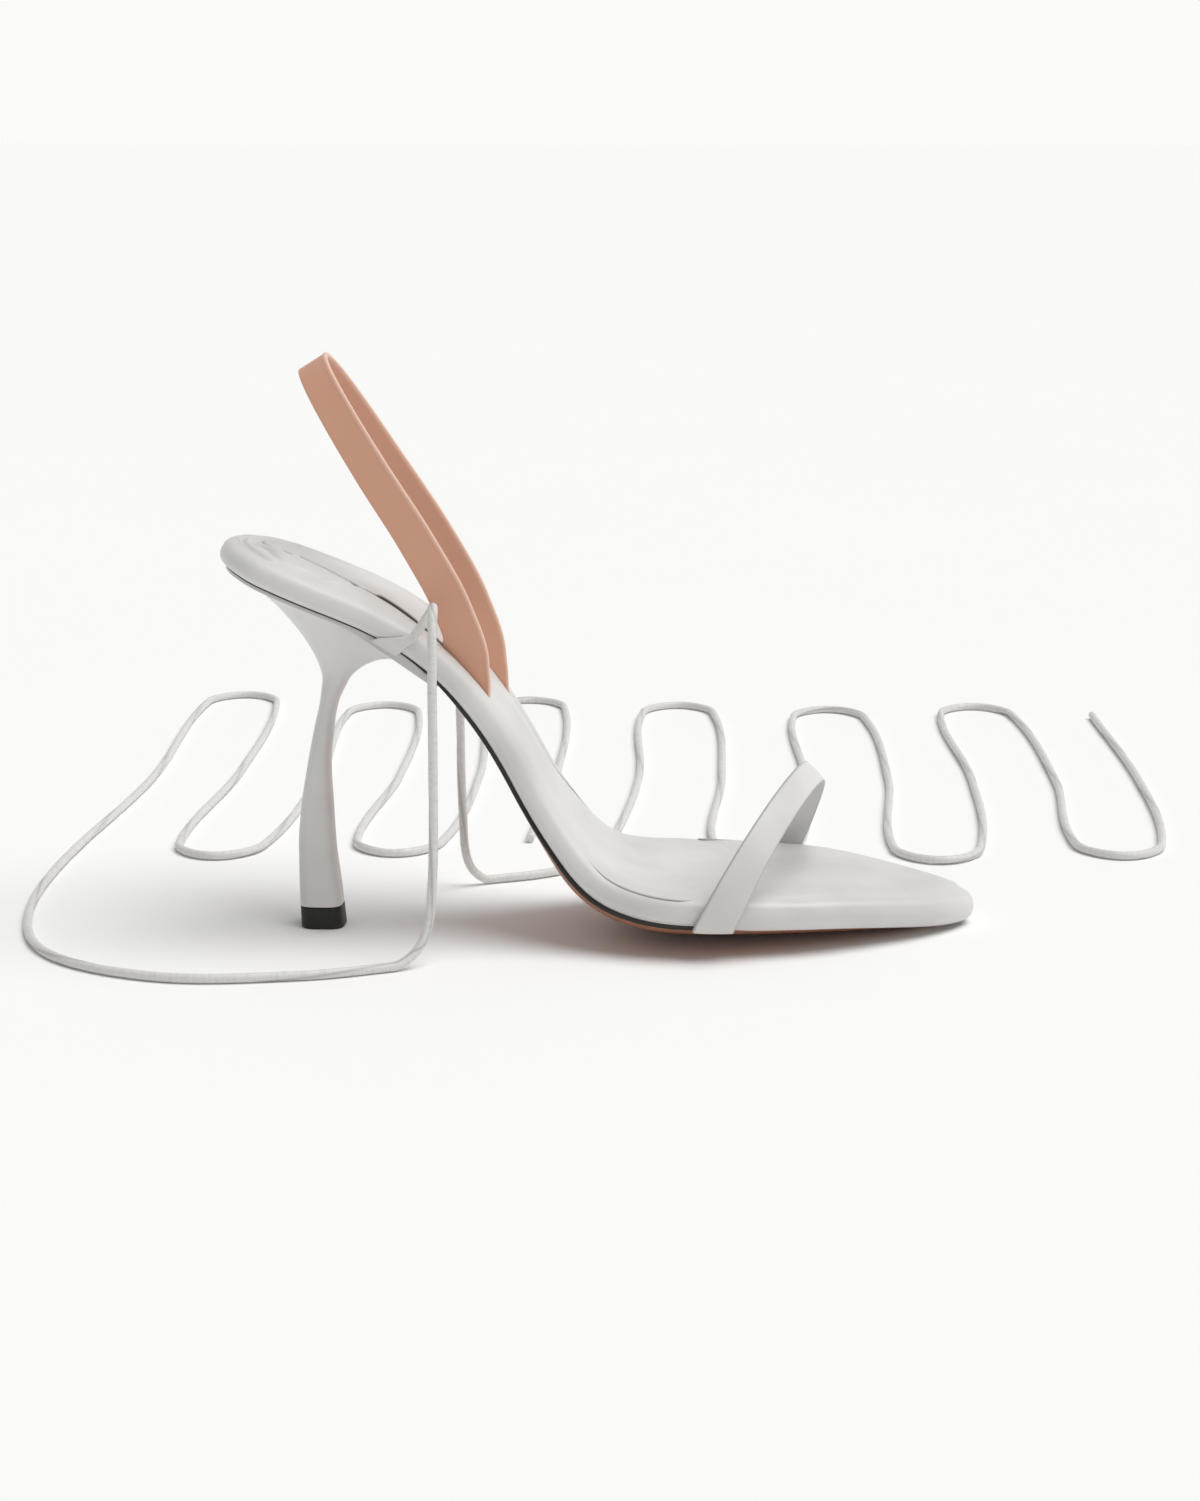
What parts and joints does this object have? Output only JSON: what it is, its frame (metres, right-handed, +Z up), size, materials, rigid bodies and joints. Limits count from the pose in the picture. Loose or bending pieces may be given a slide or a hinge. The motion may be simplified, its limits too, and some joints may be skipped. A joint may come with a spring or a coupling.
{
  "type": "ankle-tie sandal",
  "caption": "High-heeled open sandal with a padded footbed, thin sole, sculpted slim heel, narrow toe strap, elastic heel sling and long leather ankle ties laid untied on the floor.",
  "frame": {"origin": "on the floor under the middle of the shoe without its ties", "axes": "+X towards the toe, +Y towards the inner (medial) side of the foot, +Z up"},
  "size_m": [0.3394, 0.395, 0.1582],
  "materials": {
    "outsole": "tan leather with a black painted edge",
    "footbed": "smooth white leather over padding",
    "insole_sock": "smooth white leather",
    "heel": "white leather cover, satin",
    "heel_tip": "matt black",
    "toe_strap": "smooth white leather",
    "heel_sling": "fine ribbed elastic, blush",
    "tie_tab_lateral": "smooth white leather",
    "tie_tab_medial": "smooth white leather",
    "tie_lateral": "smooth white leather cord",
    "tie_medial": "smooth white leather cord"
  },
  "bodies": {
    "root": {"outsole": "outsole", "footbed": "footbed", "insole_sock": "insole_sock", "heel": "heel", "heel_tip": "heel_tip", "toe_strap": "toe_strap", "heel_sling": "heel_sling", "tie_tab_lateral": "tie_tab_lateral", "tie_tab_medial": "tie_tab_medial", "tie_lateral": "tie_lateral", "tie_medial": "tie_medial"}
  },
  "joints": []
}
